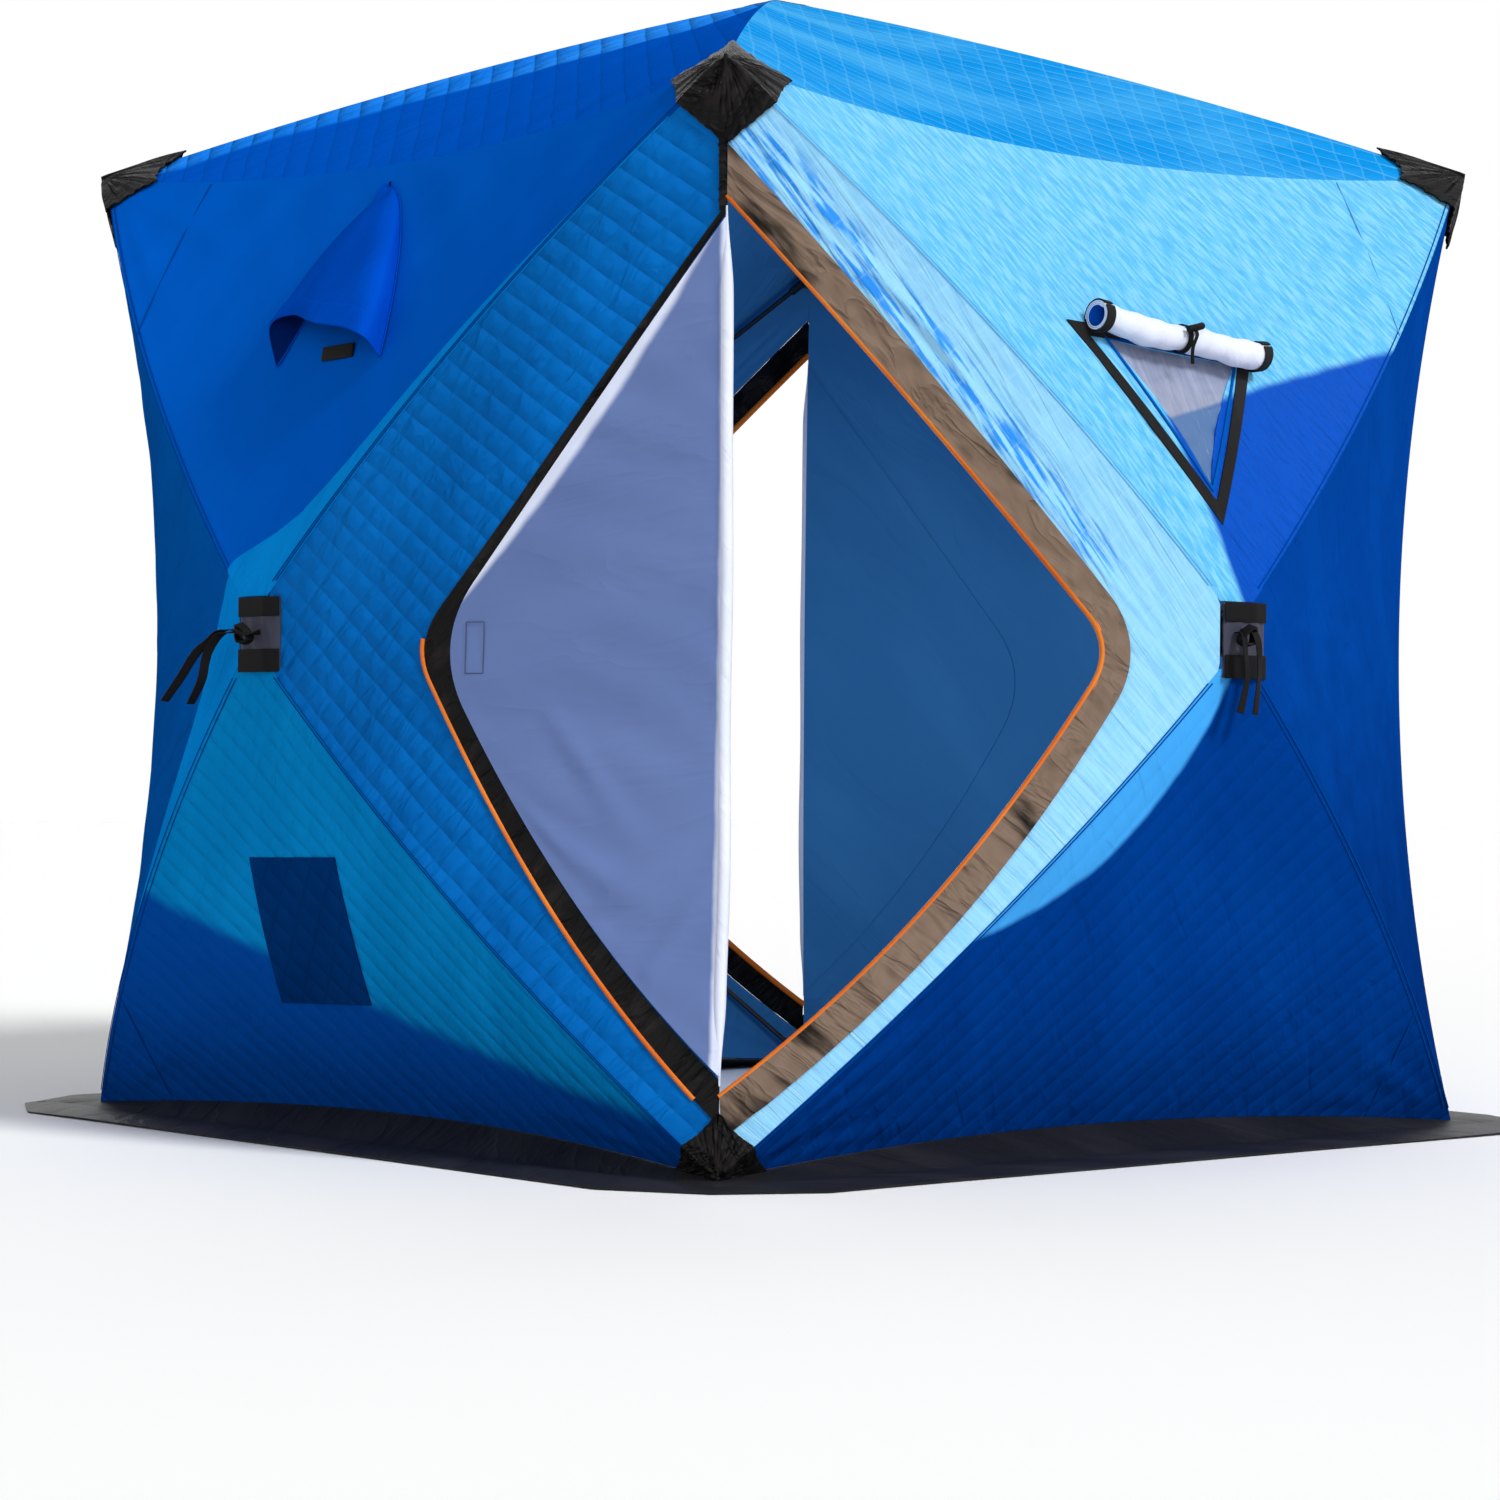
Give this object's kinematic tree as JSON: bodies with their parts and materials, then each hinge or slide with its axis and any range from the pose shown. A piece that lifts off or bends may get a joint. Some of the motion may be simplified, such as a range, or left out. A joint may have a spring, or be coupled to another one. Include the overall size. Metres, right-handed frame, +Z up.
{
  "type": "pop-up ice fishing shelter",
  "caption": "Pop-up ice fishing shelter: tensioned quilted walls and low roof on flexible rods and hubs, with corner doors, windows, vents and a snow skirt.",
  "frame": {"origin": "centre of the footprint, at the level of the ice", "axes": "+Z up; the front wall with its vent faces -Y, the right wall with its window faces +X, and the front door is at the corner between them"},
  "size_m": [2.3464, 2.3464, 2.033],
  "materials": {
    "wall_fabric": "quilted insulated polyester, satin",
    "roof_fabric": "quilted insulated polyester, satin",
    "door_lining": "smooth light lining",
    "black_fabric": "heavy woven, dull sheen",
    "skirt_cloth": "coated cloth",
    "orange_piping": "reflective piping, satin",
    "window_film": "thin tinted film",
    "hook_and_loop_tape": "matte pile",
    "vent_mesh": "fine mesh",
    "black_webbing": "woven webbing",
    "black_plastic": "moulded, matte",
    "glass_fibre_rod": "smooth pultruded rod"
  },
  "bodies": {
    "root": {"front_wall_top_panel": "wall_fabric", "front_wall_bottom_panel": "wall_fabric", "front_wall_plain_side_panel": "wall_fabric", "front_wall_door_side_panel": "wall_fabric", "front_roof_panel": "roof_fabric", "front_snow_skirt": "skirt_cloth", "right_wall_top_panel": "wall_fabric", "right_wall_bottom_panel": "wall_fabric", "right_wall_plain_side_panel": "wall_fabric", "right_wall_door_side_panel": "wall_fabric", "right_roof_panel": "roof_fabric", "right_snow_skirt": "skirt_cloth", "back_wall_top_panel": "wall_fabric", "back_wall_bottom_panel": "wall_fabric", "back_wall_plain_side_panel": "wall_fabric", "back_wall_door_side_panel": "wall_fabric", "back_roof_panel": "roof_fabric", "back_snow_skirt": "skirt_cloth", "left_wall_top_panel": "wall_fabric", "left_wall_bottom_panel": "wall_fabric", "left_wall_plain_side_panel": "wall_fabric", "left_wall_door_side_panel": "wall_fabric", "left_roof_panel": "roof_fabric", "left_snow_skirt": "skirt_cloth", "front_door_closed_half": "wall_fabric", "front_door_folded_half": "door_lining", "front_door_zip_band": "black_fabric", "front_door_storm_flap": "black_fabric", "back_door_closed_half": "wall_fabric", "back_door_folded_half": "door_lining", "back_door_zip_band": "black_fabric", "back_door_storm_flap": "black_fabric", "door_piping": "orange_piping", "window_panes": "window_film", "window_borders": "hook_and_loop_tape", "window_rolled_flaps": "door_lining", "vent_screens": "vent_mesh", "vent_hoods": "wall_fabric", "corner_top_caps": "black_fabric", "door_corner_foot_caps": "black_fabric", "hub_patches": "black_fabric", "hub_pull_straps": "black_webbing", "hubs": "black_plastic", "wall_rods": "glass_fibre_rod", "roof_rods": "glass_fibre_rod", "corner_sockets": "black_plastic"}
  },
  "joints": []
}
